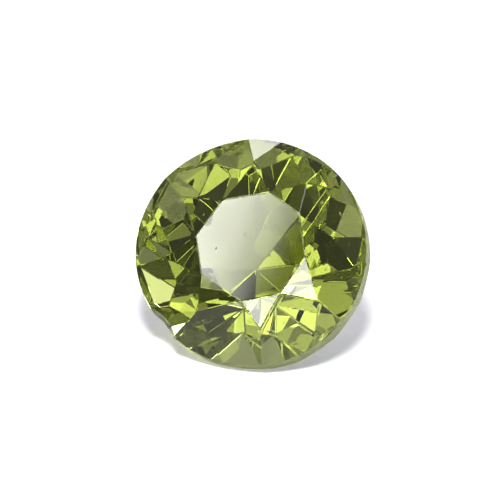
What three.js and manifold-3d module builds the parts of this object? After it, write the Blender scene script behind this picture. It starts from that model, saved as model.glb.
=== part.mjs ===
// A round brilliant cut from one clear olive-green crystal, lying on one of its pavilion facets.
// The stone is shaped in the cutter's frame first: its axis is Z, the table is up, and z = 0 is the
// top of the girdle. It is then tipped over onto the facet that it rests on. Millimetres and degrees.
import * as THREE from 'three';
import { mergeVertices } from 'three/addons/utils/BufferGeometryUtils.js';
import Module from 'manifold-3d';

const wasm = await Module();
wasm.setup();

// The rough disc that the facets are ground on. It isn't quite round: each swell is how many lobes
// it has and how far they stand out, and all of them peak at the same turn
const GIRDLE_RADIUS = 3.0;
const GIRDLE_STEPS = 120;
const GIRDLE_SWELLS = [
  [1, 0.04],
  [2, 0.02],
  [3, 0.014],
];
const GIRDLE_SWELL_TURN = 160;
const DISC_TOP = 1.5;
const DISC_BOTTOM = -5.0;

// The crown, table up
const TABLE_HEIGHT = 0.81;
const STAR_ANGLE = 22;
const FOLDS = 8;

// Where the facets of the crown meet, in plan: degrees round the stone and millimetres out
const TABLE_CORNERS = [
  [68.5, 1.5],
  [32, 1.55],
  [-11, 1.52],
  [-56.5, 1.53],
  [-96.5, 1.46],
  [-147, 1.41],
  [168, 1.38],
  [119, 1.39],
];
const STAR_TIPS = [
  [90, 2.25],
  [49, 2.23],
  [6, 2.18],
  [-38, 2.29],
  [-82, 2.16],
  [-129.5, 2.13],
  [-175, 2.25],
  [142, 2.28],
];

// Where the kites' feet and the seams between the upper girdle facets reach the girdle, in degrees
const KITE_FEET = [75.5, 31.5, -15.5, -57.5, -104, -149, 167.5, 123.5];
const GIRDLE_SEAMS = [93, 50.5, 6.5, -38, -84, -132.5, -174, 139];
const SEAM_HEIGHT = -0.03;

// The pavilion, tier by tier from the girdle down: how many facets, how steep they are from the
// girdle's plane, how far they are turned round the stone, how far out from the axis the tier ends,
// and how far aside its middle is
const GIRDLE_THICKNESS = 0.61;
const CENTRED = new THREE.Vector3(0, 0, 0);
const ASIDE = new THREE.Vector3(-0.17, -0.06, 0);
const PAVILION_TIERS = [
  { count: 16, angle: 63.7, turn: 32.9, reachesIn: 2.64, middle: CENTRED },
  { count: 8, angle: 53.6, turn: 1.7, reachesIn: 1.91, middle: CENTRED },
  { count: 8, angle: 38.6, turn: 23.9, reachesIn: 1.02, middle: ASIDE },
  { count: 8, angle: 37, turn: 23.9, reachesIn: 0, middle: ASIDE },
];

// A shell-shaped chip at the girdle
const CHIP_TURN = -141;
const CHIP_RADIUS = 0.95;
const CHIP_DEPTH = 0.25;
const CHIP_HEIGHT = -0.3;
const CHIP_SEGMENTS = 32;
const CHIP_RINGS = 20;

// The wide facet that the stone rests on lies as steep as one tier and is ground deeper; and which
// way the table faces when the stone rests on it
const REST_TIER = 1;
const REST_TURN = -98;
const REST_DEEPER = 0.25;
const TABLE_FACES = -90;

// The block that each facet is ground with is wider than the stone; points closer than this are one
const GRIND_SIZE = 24;
const SAME_POINT = 0.0001;

const degrees = THREE.MathUtils.degToRad;

function solidOf(geometry) {
  geometry.deleteAttribute('normal');
  geometry.deleteAttribute('uv');
  const merged = mergeVertices(geometry, SAME_POINT);
  return new wasm.Manifold(
    new wasm.Mesh({
      numProp: 3,
      vertProperties: new Float32Array(merged.attributes.position.array),
      triVerts: new Uint32Array(merged.index.array),
    }),
  );
}

function geometryOf(solid) {
  const mesh = solid.getMesh();
  const geometry = new THREE.BufferGeometry();
  geometry.setAttribute('position', new THREE.BufferAttribute(mesh.vertProperties, 3));
  geometry.setIndex(new THREE.BufferAttribute(mesh.triVerts, 1));
  return geometry;
}

function atTurn(turn, reach, height) {
  const angle = degrees(turn);
  return new THREE.Vector3(reach * Math.cos(angle), reach * Math.sin(angle), height);
}

function facetThrough(a, b, c) {
  const plane = new THREE.Plane().setFromCoplanarPoints(a, b, c);
  return plane.normal.z < 0 ? plane.negate() : plane;
}

function heightOn(plane, x, y) {
  return -(plane.constant + plane.normal.x * x + plane.normal.y * y) / plane.normal.z;
}

// Grinds away what lies outside the facet's plane
function grind(stone, plane) {
  const block = new THREE.BoxGeometry(GRIND_SIZE, GRIND_SIZE, GRIND_SIZE).translate(0, 0, GRIND_SIZE / 2);
  const lift = new THREE.Vector3();
  plane.coplanarPoint(lift);
  const turn = new THREE.Quaternion().setFromUnitVectors(new THREE.Vector3(0, 0, 1), plane.normal);
  block.applyQuaternion(turn).translate(lift.x, lift.y, lift.z);
  return stone.subtract(solidOf(block));
}

function girdleReach(turn) {
  const away = degrees(turn - GIRDLE_SWELL_TURN);
  return GIRDLE_SWELLS.reduce((sum, [lobes, out]) => sum + out * Math.cos(lobes * away), GIRDLE_RADIUS);
}

function disc() {
  const outline = new THREE.Shape();
  for (let step = 0; step < GIRDLE_STEPS; step += 1) {
    const turn = (360 * step) / GIRDLE_STEPS;
    const point = atTurn(turn, girdleReach(turn), 0);
    if (step === 0) outline.moveTo(point.x, point.y);
    else outline.lineTo(point.x, point.y);
  }
  outline.closePath();
  const depth = DISC_TOP - DISC_BOTTOM;
  const slab = new THREE.ExtrudeGeometry(outline, { depth, bevelEnabled: false });
  return solidOf(slab.translate(0, 0, DISC_BOTTOM));
}

function crownFacets() {
  const corners = TABLE_CORNERS.map(([turn, reach]) => atTurn(turn, reach, TABLE_HEIGHT));
  const table = new THREE.Plane(new THREE.Vector3(0, 0, 1), -TABLE_HEIGHT);

  // Each star slopes down from one edge of the table to its own tip
  const tips = STAR_TIPS.map(([turn, reach], index) => {
    const edge = new THREE.Line3(corners[(index + FOLDS - 1) % FOLDS], corners[index]);
    const tip = atTurn(turn, reach, TABLE_HEIGHT);
    const nearest = edge.closestPointToPoint(tip, false, new THREE.Vector3());
    tip.z -= Math.tan(degrees(STAR_ANGLE)) * tip.distanceTo(nearest);
    return tip;
  });
  const stars = tips.map((tip, index) =>
    facetThrough(corners[(index + FOLDS - 1) % FOLDS], corners[index], tip),
  );

  // Each kite hangs between two star tips and one corner of the table
  const kites = corners.map((corner, index) =>
    facetThrough(corner, tips[index], tips[(index + 1) % FOLDS]),
  );
  const feet = kites.map((kite, index) => {
    const foot = atTurn(KITE_FEET[index], GIRDLE_RADIUS, 0);
    foot.z = heightOn(kite, foot.x, foot.y);
    return foot;
  });

  // Two upper girdle facets share each star tip and the seam below it
  const upperGirdle = tips.flatMap((tip, index) => {
    const seam = atTurn(GIRDLE_SEAMS[index], GIRDLE_RADIUS, SEAM_HEIGHT);
    return [
      facetThrough(tip, seam, feet[(index + FOLDS - 1) % FOLDS]),
      facetThrough(tip, seam, feet[index]),
    ];
  });
  return [table, ...stars, ...kites, ...upperGirdle];
}

function facetBelow(turn, slope, reach, height) {
  const normal = atTurn(turn, Math.sin(slope), -Math.cos(slope));
  return new THREE.Plane().setFromNormalAndCoplanarPoint(normal, atTurn(turn, reach, height));
}

// The facet that the stone rests on comes last
function pavilionFacets() {
  let reach = GIRDLE_RADIUS;
  let height = -GIRDLE_THICKNESS;
  const facets = [];
  const rest = new THREE.Plane();
  PAVILION_TIERS.forEach(({ count, angle, turn, reachesIn, middle }, tier) => {
    const slope = degrees(angle);
    for (let index = 0; index < count; index += 1) {
      const facing = turn + (360 * index) / count;
      facets.push(facetBelow(facing, slope, reach, height).translate(middle));
    }
    if (tier === REST_TIER) {
      rest.copy(facetBelow(REST_TURN, slope, reach, height));
      rest.constant += REST_DEEPER;
    }
    height -= (reach - reachesIn) * Math.tan(slope);
    reach = reachesIn;
  });
  return [...facets, rest];
}

function chip() {
  const ball = new THREE.SphereGeometry(CHIP_RADIUS, CHIP_SEGMENTS, CHIP_RINGS);
  const centre = atTurn(CHIP_TURN, GIRDLE_RADIUS - CHIP_DEPTH + CHIP_RADIUS, CHIP_HEIGHT);
  return solidOf(ball.translate(centre.x, centre.y, centre.z));
}

const pavilion = pavilionFacets();
const cutStone = [...crownFacets(), ...pavilion].reduce(grind, disc()).subtract(chip());

// Tipped over so that the resting facet faces straight down, and turned so that the table faces
// forwards; the origin is then under the middle of the stone, on the surface that it lies on
const down = new THREE.Vector3(0, 0, -1);
const tip = new THREE.Quaternion().setFromUnitVectors(pavilion.at(-1).normal, down);
const axis = new THREE.Vector3(0, 0, 1).applyQuaternion(tip);
const turnLeft = degrees(TABLE_FACES) - Math.atan2(axis.y, axis.x);
const spin = new THREE.Quaternion().setFromAxisAngle(new THREE.Vector3(0, 0, 1), turnLeft);

const stoneGeometry = geometryOf(cutStone).applyQuaternion(spin.multiply(tip));
stoneGeometry.computeBoundingBox();
const middle = stoneGeometry.boundingBox.getCenter(new THREE.Vector3());
stoneGeometry.translate(-middle.x, -middle.y, -stoneGeometry.boundingBox.min.z);

const stone = new THREE.Mesh(
  stoneGeometry,
  new THREE.MeshStandardMaterial({ color: '#8c9c4c', roughness: 0.05, metalness: 0 }),
);
stone.name = 'kornerupine';

const part = new THREE.Group();
part.add(stone);

export default part;
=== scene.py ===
import math

import bpy
from mathutils import Matrix, Quaternion, Vector


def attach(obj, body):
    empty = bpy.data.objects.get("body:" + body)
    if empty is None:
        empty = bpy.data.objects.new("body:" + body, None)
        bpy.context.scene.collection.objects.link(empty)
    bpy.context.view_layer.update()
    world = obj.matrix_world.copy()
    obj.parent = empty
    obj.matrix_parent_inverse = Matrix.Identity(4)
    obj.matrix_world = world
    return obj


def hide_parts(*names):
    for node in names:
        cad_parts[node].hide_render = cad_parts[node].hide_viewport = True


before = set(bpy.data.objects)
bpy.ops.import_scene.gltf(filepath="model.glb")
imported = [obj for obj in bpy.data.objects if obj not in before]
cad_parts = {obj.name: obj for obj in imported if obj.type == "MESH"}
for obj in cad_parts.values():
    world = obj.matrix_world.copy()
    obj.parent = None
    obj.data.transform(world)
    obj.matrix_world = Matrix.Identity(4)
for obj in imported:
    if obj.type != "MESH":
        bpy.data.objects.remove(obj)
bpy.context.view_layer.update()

# The stone is cut in the cutter's frame first, in millimetres and degrees: its axis is Z, the table
# is up, and z = 0 is the top of the girdle

# The rough disc that the facets are ground on. It isn't quite round: each swell is how many lobes
# it has and how far they stand out, and all of them peak at the same turn
GIRDLE_RADIUS = 3.0
GIRDLE_STEPS = 120
GIRDLE_SWELLS = [(1, 0.04), (2, 0.02), (3, 0.014)]
GIRDLE_SWELL_TURN = 160
DISC_TOP = 1.5
DISC_BOTTOM = -5.0

# The crown
TABLE_HEIGHT = 0.81
STAR_ANGLE = 22

# Where the facets of the crown meet, in plan: degrees round the stone and millimetres out
TABLE_CORNERS = [
    (68.5, 1.5),
    (32, 1.55),
    (-11, 1.52),
    (-56.5, 1.53),
    (-96.5, 1.46),
    (-147, 1.41),
    (168, 1.38),
    (119, 1.39),
]
STAR_TIPS = [
    (90, 2.25),
    (49, 2.23),
    (6, 2.18),
    (-38, 2.29),
    (-82, 2.16),
    (-129.5, 2.13),
    (-175, 2.25),
    (142, 2.28),
]

# Where the kites' feet and the seams between the upper girdle facets reach the girdle, in degrees
KITE_FEET = [75.5, 31.5, -15.5, -57.5, -104, -149, 167.5, 123.5]
GIRDLE_SEAMS = [93, 50.5, 6.5, -38, -84, -132.5, -174, 139]
SEAM_HEIGHT = -0.03

# The pavilion's tiers, from the girdle down: how many facets, how steep, how far turned, how far out
# from the axis the tier ends, and how far aside its middle is
GIRDLE_THICKNESS = 0.61
CENTRED = Vector((0, 0, 0))
ASIDE = Vector((-0.17, -0.06, 0))
PAVILION_TIERS = [
    (16, 63.7, 32.9, 2.64, CENTRED),
    (8, 53.6, 1.7, 1.91, CENTRED),
    (8, 38.6, 23.9, 1.02, ASIDE),
    (8, 37, 23.9, 0, ASIDE),
]

# The wide facet that the stone rests on lies as steep as one tier, and is ground deeper; and which
# way the table faces when the stone rests on it
REST_TIER = 1
REST_TURN = -98
REST_DEEPER = 0.25
TABLE_FACES = -90

# The shell-shaped chip at the girdle
CHIP_TURN = -141
CHIP_RADIUS = 0.95
CHIP_DEPTH = 0.25
CHIP_HEIGHT = -0.3
CHIP_SEGMENTS = 48
CHIP_RINGS = 32

# Points that lie this near to a facet's plane lie on it, and edges shorter than this close up
ON_PLANE = 0.00001
SHORTEST_EDGE = 0.02

# The worn edges between the facets, and the sharpest bend that is left alone
EDGE_WEAR = 0.02
EDGE_WEAR_STEPS = 2
EDGE_BEND = 4

# A face whose normal rises less than this is the girdle's, and one this near to the chip's ball is
# the chip's
UPRIGHT = 0.2
CHIP_NEARNESS = 0.01

# The camera looks along the stone's axis but for a lean towards one side of the stone. The width of
# the picture at the stone is in millimetres, and the pixel is where the cutter's origin shows
CAMERA_LEAN = 14.5
CAMERA_LEAN_TURN = -56
CAMERA_DISTANCE = 250
FRAME_WIDTH = 12.88
STONE_PIXEL = (252.3, 252.0)
FRAME_PIXELS = 500
SENSOR_WIDTH = 36

# From here on the sizes are in metres
MILLIMETRE = 0.001
CAMERA_SEES_FROM = 0.01
CAMERA_SEES_TO = 10

# How high the waves of a polished facet, the wheel marks and the ripples of the chip are, and how
# far apart the ripples
FACET_WAVES = 0.000004
WHEEL_MARKS = 0.000006
RIPPLES = 0.000001
RIPPLE_SPACING = 0.00009

# How fine the crystal's patterns are: patches in a metre, finer layers, and how strong those are.
# Where the speck pattern is over its level, there is a speck
WAVE_PATTERN = (420.0, 1.0, 0.4)
WHEEL_MARK_PATTERN = (9000.0, 2.0, 0.6)
SPECK_PATTERN = (5200.0, 0.0, 0.5)
ZONE_PATTERN = (300.0, 1.0, 0.5)
SPECK_LEVEL = 0.83

# The crystal: what its surface lets through in its clear and its greener zones, what its body leaves
# of the light on its way, how much it bends light, and how rough it is where it isn't polished
CLEAR_ZONE = (1, 1, 1, 1)
GREENER_ZONE = (0.94, 0.97, 0.86, 1)
BODY_COLOUR = (0.55, 0.59, 0.13, 1)
BODY_DENSITY = 350.0
REFRACTION = 1.67
GROUND_ROUGHNESS = 0.5
CHIP_ROUGHNESS = 0.12
SPECK_ROUGHNESS = 0.5

# The sheet of paper that the stone lies on
PAPER_WIDTH = 1.2
PAPER_WHITE = (0.9, 0.9, 0.9, 1)
PAPER_ROUGHNESS = 0.9

# The small lamps that show as white facets: the facet of the crown that mirrors each, and how bright
# the lamp is
SMALL_LAMP_WIDTH = 0.012
SMALL_LAMP_DISTANCE = 0.2
SMALL_LAMPS = {
    "lamp_right": ("stars", 3, 7.4),
    "lamp_front": ("stars", 4, 7.4),
    "lamp_behind": ("upper girdle", 1, 5.6),
}

# The card that shows as the table's glare: which way across it the light fades, and between which
# places
CARD_WIDTH = 0.01
CARD_BRIGHTNESS = 8.4
GLARE_FADES_TOWARDS = (0.9, -0.44, 0)
GLARE_FULL_UP_TO = -0.003
GLARE_GONE_FROM = 0.0025

# The lamp that the stone's shadow on the paper comes from, and the bluish tent over the paper
PAPER_LAMP_AZIMUTH = 5.9
PAPER_LAMP_ELEVATION = 55.4
PAPER_LAMP_DISTANCE = 0.3
PAPER_LAMP_WIDTH = 0.056
PAPER_LAMP_BRIGHTNESS = 80
TENT_DISTANCE = 0.35
TENT_WIDTH = 0.56
TENT_BRIGHTNESS = 0.66
TENT_COLOUR = (0.8, 0.78, 1.0)

# The softboxes round the stone: degrees round from the front to the right, degrees up, how many
# degrees wide as the stone sees them, and how bright
SOFTBOX_DISTANCE = 0.4
SOFTBOXES = [
    # Behind the stone
    (132, 15, 32, 3.5),
    (136, 14, 32, 3.5),
    (114, 18, 36, 1.2),
    (149, 26, 16, 3.5),
    (149, 49, 27, 3.5),
    (-174, 60, 14, 2.6),
    (-102, 10, 20, 2.5),
    # In front of it
    (-34, 29, 34, 2),
    (-21, 8, 13, 2.5),
    (13, 17, 18, 0.8),
    (0, 32, 32, 0.6),
    (3, 45, 20, 0.7),
    (-3, 47, 13, 1.8),
    (-30, 47, 20, 0.7),
    # High over it
    (-19, 55, 8, 3.5),
    (23, 55, 7, 2.6),
    (-58, 64, 16, 3.5),
    (37, 68, 25, 2.8),
    (71, 67, 23, 2.2),
]

# How light the room is, and which way and how much lighter it grows
ROOM_LIGHT = 0.383
ROOM_LIGHTER_TOWARDS = (0.031, 0.224, -0.125)
ROOM_WHITE = (1, 1, 1, 1)

# The picture is a little harder than the light, as a camera's is
PICTURE_EXPOSURE = 0.4
PICTURE_GAMMA = 0.8

# How often light may bounce, and how often off mirrors
BOUNCES = 32
GLOSSY_BOUNCES = 16


def at_turn(turn, reach, height):
    angle = math.radians(turn)
    return Vector((reach * math.cos(angle), reach * math.sin(angle), height))


def facet_through(a, b, c):
    """Returns the middle of the three points, and the upward normal of their plane."""
    normal = (b - a).cross(c - a).normalized()
    return ((a + b + c) / 3, -normal if normal.z < 0 else normal)


def crown_facets():
    corners = [at_turn(turn, reach, TABLE_HEIGHT) for turn, reach in TABLE_CORNERS]

    # Each star slopes down from one edge of the table to its own tip
    stars = []
    tips = []
    for index, (turn, reach) in enumerate(STAR_TIPS):
        start = corners[index - 1]
        edge = (corners[index] - start).normalized()
        tip = at_turn(turn, reach, TABLE_HEIGHT)
        nearest = start + edge * (tip - start).dot(edge)
        tip.z -= math.tan(math.radians(STAR_ANGLE)) * (tip - nearest).length
        tips.append(tip)
        stars.append(facet_through(start, corners[index], tip))

    # Each kite hangs between two star tips and one corner of the table
    kites = []
    feet = []
    for index, corner in enumerate(corners):
        through, normal = facet_through(corner, tips[index], tips[(index + 1) % len(tips)])
        foot = at_turn(KITE_FEET[index], GIRDLE_RADIUS, 0)
        foot.z = (through - foot).dot(normal) / normal.z
        kites.append((through, normal))
        feet.append(foot)

    # Two upper girdle facets share each star tip and the seam below it
    upper_girdle = []
    for index, tip in enumerate(tips):
        seam = at_turn(GIRDLE_SEAMS[index], GIRDLE_RADIUS, SEAM_HEIGHT)
        upper_girdle.append(facet_through(tip, seam, feet[index - 1]))
        upper_girdle.append(facet_through(tip, seam, feet[index]))
    table = (Vector((0, 0, TABLE_HEIGHT)), Vector((0, 0, 1)))
    return {"table": [table], "stars": stars, "kites": kites, "upper girdle": upper_girdle}


def facet_below(turn, slope, reach, height):
    return (at_turn(turn, reach, height), at_turn(turn, math.sin(slope), -math.cos(slope)))


def pavilion_facets():
    """Returns the pavilion's facets, the one that the stone rests on last."""
    reach = GIRDLE_RADIUS
    height = -GIRDLE_THICKNESS
    facets = []
    for tier, (count, angle, turn, reaches_in, middle) in enumerate(PAVILION_TIERS):
        slope = math.radians(angle)
        for index in range(count):
            through, normal = facet_below(turn + 360 * index / count, slope, reach, height)
            facets.append((through + middle, normal))
        if tier == REST_TIER:
            through, normal = facet_below(REST_TURN, slope, reach, height)
            rest = (through - normal * REST_DEEPER, normal)
        height -= (reach - reaches_in) * math.tan(slope)
        reach = reaches_in
    return [*facets, rest]


crown = crown_facets()
pavilion = pavilion_facets()
chip_centre = at_turn(CHIP_TURN, GIRDLE_RADIUS - CHIP_DEPTH + CHIP_RADIUS, CHIP_HEIGHT)

# How the cutter's frame is tipped over, so that the resting facet faces down and the table forwards
tip_over = pavilion[-1][1].rotation_difference(Vector((0, 0, -1)))
tipped_axis = tip_over @ Vector((0, 0, 1))
spin = math.radians(TABLE_FACES) - math.atan2(tipped_axis.y, tipped_axis.x)
lay_down = Quaternion((0, 0, 1), spin) @ tip_over


def only(thing):
    bpy.ops.object.select_all(action="DESELECT")
    thing.select_set(True)
    bpy.context.view_layer.objects.active = thing


def grind(through, normal):
    """Grinds away what lies outside a facet's plane."""
    bpy.ops.mesh.select_all(action="SELECT")
    bpy.ops.mesh.bisect(
        plane_co=through,
        plane_no=normal,
        use_fill=True,
        clear_outer=True,
        threshold=ON_PLANE,
    )


def girdle_reach(turn):
    away = math.radians(turn - GIRDLE_SWELL_TURN)
    return GIRDLE_RADIUS + sum(out * math.cos(lobes * away) for lobes, out in GIRDLE_SWELLS)


def cut_stone():
    bpy.ops.object.select_all(action="DESELECT")
    bpy.ops.mesh.primitive_cylinder_add(
        vertices=GIRDLE_STEPS,
        radius=GIRDLE_RADIUS,
        depth=DISC_TOP - DISC_BOTTOM,
        location=(0, 0, (DISC_TOP + DISC_BOTTOM) / 2),
    )
    stone = bpy.context.object
    stone.name = "kornerupine_cut"
    bpy.ops.object.transform_apply(location=True, rotation=True, scale=True)
    for point in stone.data.vertices:
        turn = math.degrees(math.atan2(point.co.y, point.co.x))
        point.co = at_turn(turn, girdle_reach(turn), point.co.z)
    bpy.ops.object.mode_set(mode="EDIT")
    for facets in [*crown.values(), pavilion]:
        for through, normal in facets:
            grind(through, normal)
    bpy.ops.mesh.select_all(action="SELECT")
    bpy.ops.mesh.remove_doubles(threshold=SHORTEST_EDGE)
    bpy.ops.mesh.normals_make_consistent(inside=False)
    bpy.ops.object.mode_set(mode="OBJECT")
    return stone


def wear_edges(stone):
    only(stone)
    wear = stone.modifiers.new("wear", "BEVEL")
    wear.width = EDGE_WEAR
    wear.segments = EDGE_WEAR_STEPS
    wear.use_clamp_overlap = False
    wear.limit_method = "ANGLE"
    wear.angle_limit = math.radians(EDGE_BEND)
    bpy.ops.object.modifier_apply(modifier="wear")


def knock_chip(stone):
    bpy.ops.object.select_all(action="DESELECT")
    bpy.ops.mesh.primitive_uv_sphere_add(
        segments=CHIP_SEGMENTS,
        ring_count=CHIP_RINGS,
        radius=CHIP_RADIUS,
        location=chip_centre,
    )
    ball = bpy.context.object
    bpy.ops.object.transform_apply(location=True, rotation=True, scale=True)
    only(stone)
    cutter = stone.modifiers.new("chip", "BOOLEAN")
    cutter.operation = "DIFFERENCE"
    cutter.solver = "EXACT"
    cutter.object = ball
    bpy.ops.object.modifier_apply(modifier="chip")
    bpy.data.objects.remove(ball)


def mark_faces(stone):
    """Marks the chip's faces, and the girdle's, which are ground but not polished."""
    ground = [1.0 if abs(face.normal.z) < UPRIGHT else 0.0 for face in stone.data.polygons]
    broken = [
        1.0 if abs((face.center - chip_centre).length - CHIP_RADIUS) < CHIP_NEARNESS else 0.0
        for face in stone.data.polygons
    ]
    for name, marks in (("ground", ground), ("broken", broken)):
        stone.data.attributes.new(name, "FLOAT", "FACE").data.foreach_set("value", marks)


def lay_on_floor(stone):
    """Turns the finished stone onto its resting facet and returns where the cutter's origin went."""
    corners = [lay_down @ point.co for point in stone.data.vertices]
    low = Vector(min(c[side] for c in corners) for side in range(3))
    high = Vector(max(c[side] for c in corners) for side in range(3))
    under = Vector(((low.x + high.x) / 2, (low.y + high.y) / 2, low.z))
    for point, corner in zip(stone.data.vertices, corners):
        point.co = (corner - under) * MILLIMETRE
    stone.data.update()
    return -under * MILLIMETRE


stone = cut_stone()
wear_edges(stone)
knock_chip(stone)
mark_faces(stone)
stone_middle = lay_on_floor(stone)
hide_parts("kornerupine")
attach(stone, "root")

# The camera
lean = Quaternion(Vector((0, 0, 1)).cross(at_turn(CAMERA_LEAN_TURN, 1, 0)), math.radians(CAMERA_LEAN))
camera_turn = lay_down @ lean
to_camera = camera_turn @ Vector((0, 0, 1))
camera_right = camera_turn @ Vector((1, 0, 0))
camera_up = camera_turn @ Vector((0, 1, 0))
pixel = FRAME_WIDTH / FRAME_PIXELS * MILLIMETRE
aim = (
    stone_middle
    + camera_right * (FRAME_PIXELS / 2 - STONE_PIXEL[0]) * pixel
    - camera_up * (FRAME_PIXELS / 2 - STONE_PIXEL[1]) * pixel
)
camera_data = bpy.data.cameras.new("camera")
camera_data.sensor_width = SENSOR_WIDTH
camera_data.lens = SENSOR_WIDTH * CAMERA_DISTANCE / FRAME_WIDTH
camera_data.clip_start = CAMERA_SEES_FROM
camera_data.clip_end = CAMERA_SEES_TO
camera = bpy.data.objects.new("camera", camera_data)
camera.rotation_mode = "QUATERNION"
camera.rotation_quaternion = camera_turn
camera.location = aim + to_camera * CAMERA_DISTANCE * MILLIMETRE
bpy.context.scene.collection.objects.link(camera)
bpy.context.scene.camera = camera


class Value:
    """A socket of a node, on which Python's sums add Math nodes."""

    def __init__(self, tree, socket):
        self.tree = tree
        self.socket = socket

    def work_out(self, operation, *values):
        return add_node(self.tree, "ShaderNodeMath", {"operation": operation}, dict(enumerate(values)))

    def __add__(self, other):
        return self.work_out("ADD", self, other)

    def __mul__(self, other):
        return self.work_out("MULTIPLY", self, other)

    def __gt__(self, other):
        return self.work_out("GREATER_THAN", self, other)

    def sine(self):
        return self.work_out("SINE", self)

    __radd__ = __add__
    __rmul__ = __mul__


def add_node(tree, kind, settings, sockets, output=0):
    """Adds a node, sets it up, fills or links its sockets and returns one of its outputs."""
    node = tree.nodes.new(kind)
    for name, setting in settings.items():
        setattr(node, name, setting)
    fill_sockets(tree, node, sockets)
    return Value(tree, node.outputs[output])


def fill_sockets(tree, node, sockets):
    for name, value in sockets.items():
        if isinstance(value, Value):
            tree.links.new(value.socket, node.inputs[name])
        else:
            node.inputs[name].default_value = value


# The crystal
def olive_green_crystal():
    material = bpy.data.materials.new("olive_green_crystal")
    material.use_nodes = True
    tree = material.node_tree
    place = add_node(tree, "ShaderNodeTexCoord", {}, {}, output="Object")
    ground = add_node(tree, "ShaderNodeAttribute", {"attribute_name": "ground"}, {}, output="Fac")
    broken = add_node(tree, "ShaderNodeAttribute", {"attribute_name": "broken"}, {}, output="Fac")

    def noise(scale, detail, roughness):
        sockets = {"Vector": place, "Scale": scale, "Detail": detail, "Roughness": roughness}
        return add_node(tree, "ShaderNodeTexNoise", {}, sockets)

    # The facets are polished by hand, so none is quite flat. The girdle keeps the marks of the
    # wheel, and the chip is rippled round the place where it was struck
    waves = noise(*WAVE_PATTERN) * FACET_WAVES
    wheel_marks = ground * noise(*WHEEL_MARK_PATTERN) * WHEEL_MARKS
    struck = stone_middle + lay_down @ at_turn(CHIP_TURN, GIRDLE_RADIUS, 0) * MILLIMETRE
    from_blow = add_node(
        tree,
        "ShaderNodeVectorMath",
        {"operation": "DISTANCE"},
        {0: place, 1: struck},
        output="Value",
    )
    ripples = broken * (from_blow * (2 * math.pi / RIPPLE_SPACING)).sine() * RIPPLES
    relief = add_node(
        tree,
        "ShaderNodeBump",
        {},
        {"Strength": 1.0, "Distance": 1.0, "Height": waves + wheel_marks + ripples},
    )

    # A few specks of dust and worn spots take the polish away
    specks = noise(*SPECK_PATTERN) > SPECK_LEVEL
    colour = add_node(
        tree,
        "ShaderNodeMix",
        {"data_type": "RGBA"},
        {"Factor": noise(*ZONE_PATTERN), "A": CLEAR_ZONE, "B": GREENER_ZONE},
        output="Result",
    )
    body_colour = add_node(
        tree,
        "ShaderNodeVolumeAbsorption",
        {},
        {"Color": BODY_COLOUR, "Density": BODY_DENSITY},
    )
    fill_sockets(
        tree,
        tree.nodes["Principled BSDF"],
        {
            "Base Color": colour,
            "Roughness": GROUND_ROUGHNESS * ground + CHIP_ROUGHNESS * broken + SPECK_ROUGHNESS * specks,
            "IOR": REFRACTION,
            "Transmission Weight": 1.0,
            "Normal": relief,
        },
    )
    fill_sockets(tree, tree.nodes["Material Output"], {"Volume": body_colour})
    return material


stone.data.materials.clear()
stone.data.materials.append(olive_green_crystal())


# The floor
def white_paper():
    paper = bpy.data.materials.new("white_paper")
    paper.use_nodes = True
    fill_sockets(
        paper.node_tree,
        paper.node_tree.nodes["Principled BSDF"],
        {"Base Color": PAPER_WHITE, "Roughness": PAPER_ROUGHNESS},
    )
    return paper


bpy.ops.object.select_all(action="DESELECT")
bpy.ops.mesh.primitive_plane_add(size=PAPER_WIDTH, location=(0, 0, 0))
floor = bpy.context.object
floor.name = "floor"
floor.data.materials.append(white_paper())

# What the lamps that light only the floor, or only the stone, shine on
floor_alone = bpy.data.collections.new("floor_alone")
floor_alone.objects.link(floor)
stone_alone = bpy.data.collections.new("stone_alone")
stone_alone.objects.link(stone)


# The studio: every lamp is round, and its brightness counts in sheets of fully lit white paper
def hang_lamp(name, aimed_at, direction, distance, width, brightness):
    light = bpy.data.lights.new(name, "AREA")
    light.shape = "DISK"
    light.size = width
    light.energy = brightness * math.pi * math.pi * (width / 2) ** 2
    lamp = bpy.data.objects.new(name, light)
    lamp.rotation_mode = "QUATERNION"
    lamp.rotation_quaternion = direction.to_track_quat("Z", "Y")
    lamp.location = aimed_at + direction * distance
    bpy.context.scene.collection.objects.link(lamp)
    return lamp


def mirrored_by(facet):
    """Returns the facet's middle, and where the camera looks to in its polish."""
    middle = stone_middle + lay_down @ facet[0] * MILLIMETRE
    normal = lay_down @ facet[1]
    view = (camera.location - middle).normalized()
    return (middle, 2 * normal.dot(view) * normal - view)


def towards(azimuth, elevation):
    """Returns the direction so far round from the front to the right, and so far up."""
    return at_turn(azimuth - 90, math.cos(math.radians(elevation)), math.sin(math.radians(elevation)))


def fading_light(brightness):
    """Light that fades over a card, from its upper left to nothing at its right."""
    light = bpy.data.materials.new("fading_light")
    light.use_nodes = True
    tree = light.node_tree
    place = add_node(tree, "ShaderNodeTexCoord", {}, {}, output="Object")
    across = add_node(
        tree,
        "ShaderNodeVectorMath",
        {"operation": "DOT_PRODUCT"},
        {0: place, 1: GLARE_FADES_TOWARDS},
        output="Value",
    )
    fade = add_node(
        tree,
        "ShaderNodeMapRange",
        {"interpolation_type": "SMOOTHSTEP"},
        {
            "Value": across,
            "From Min": GLARE_FULL_UP_TO,
            "From Max": GLARE_GONE_FROM,
            "To Min": 1.0,
            "To Max": 0.0,
        },
    )
    glow = add_node(tree, "ShaderNodeEmission", {}, {"Color": fade, "Strength": brightness})
    fill_sockets(tree, tree.nodes["Material Output"], {"Surface": glow})
    return light


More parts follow.
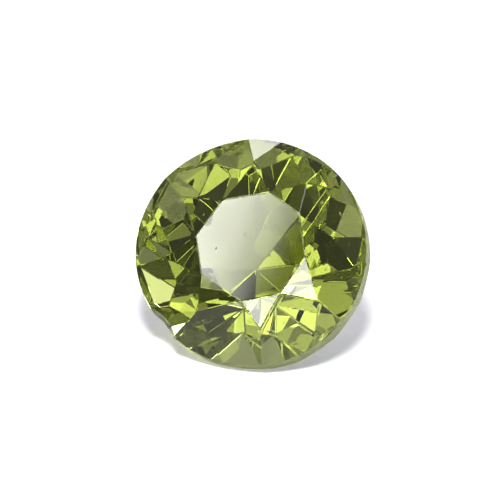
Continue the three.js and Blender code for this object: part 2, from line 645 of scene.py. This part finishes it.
def hang_card(name, facet, distance, size, light):
    """Hangs a card so that a facet mirrors it, with the card's X and Y along the picture's."""
    middle, direction = mirrored_by(facet)
    normal = lay_down @ facet[1]
    sideways = camera_right - 2 * camera_right.dot(normal) * normal
    upright = direction.cross(sideways).normalized()
    sides = Matrix((upright.cross(direction), upright, direction)).transposed()
    bpy.ops.object.select_all(action="DESELECT")
    bpy.ops.mesh.primitive_plane_add(size=size)
    card = bpy.context.object
    card.name = name
    card.rotation_mode = "QUATERNION"
    card.rotation_quaternion = sides.to_quaternion()
    card.location = middle + direction * distance
    card.data.materials.append(light)


# Three small lamps show as white facets and a card as the table's glare
for name, (kind, index, brightness) in SMALL_LAMPS.items():
    facet = crown[kind][index]
    hang_lamp(name, *mirrored_by(facet), SMALL_LAMP_DISTANCE, SMALL_LAMP_WIDTH, brightness)
glare = fading_light(CARD_BRIGHTNESS)
hang_card("card_over_table", crown["table"][0], SMALL_LAMP_DISTANCE, CARD_WIDTH, glare)

# Two lamps light the paper alone, and the stone casts a shadow from the first
over_paper = hang_lamp(
    "lamp_over_paper",
    stone_middle,
    towards(PAPER_LAMP_AZIMUTH, PAPER_LAMP_ELEVATION),
    PAPER_LAMP_DISTANCE,
    PAPER_LAMP_WIDTH,
    PAPER_LAMP_BRIGHTNESS,
)
tent = hang_lamp(
    "tent_over_paper",
    stone_middle,
    Vector((0, 0, 1)),
    TENT_DISTANCE,
    TENT_WIDTH,
    TENT_BRIGHTNESS,
)
tent.data.color = TENT_COLOUR
for lamp in (over_paper, tent):
    lamp.light_linking.receiver_collection = floor_alone
tent.light_linking.blocker_collection = floor_alone

# The softboxes light the stone alone
for number, (azimuth, elevation, degrees_wide, brightness) in enumerate(SOFTBOXES):
    softbox = hang_lamp(
        f"softbox_{number}",
        stone_middle,
        towards(azimuth, elevation),
        SOFTBOX_DISTANCE,
        2 * SOFTBOX_DISTANCE * math.tan(math.radians(degrees_wide / 2)),
        brightness,
    )
    softbox.light_linking.receiver_collection = stone_alone


def dim_room():
    """Returns the dim room, which is lighter towards one side."""
    world = bpy.data.worlds.new("dim_room")
    world.use_nodes = True
    tree = world.node_tree
    look = add_node(tree, "ShaderNodeTexCoord", {}, {}, output="Generated")
    lighter = add_node(
        tree,
        "ShaderNodeVectorMath",
        {"operation": "DOT_PRODUCT"},
        {0: look, 1: ROOM_LIGHTER_TOWARDS},
        output="Value",
    )
    light = ROOM_LIGHT + lighter
    fill_sockets(tree, tree.nodes["Background"], {"Color": ROOM_WHITE, "Strength": light})
    return world


# The picture
scene = bpy.context.scene
scene.world = dim_room()
scene.view_settings.view_transform = "Standard"
scene.view_settings.exposure = PICTURE_EXPOSURE
scene.view_settings.gamma = PICTURE_GAMMA
scene.cycles.max_bounces = BOUNCES
scene.cycles.transmission_bounces = BOUNCES
scene.cycles.glossy_bounces = GLOSSY_BOUNCES
scene.cycles.denoising_input_passes = "RGB"
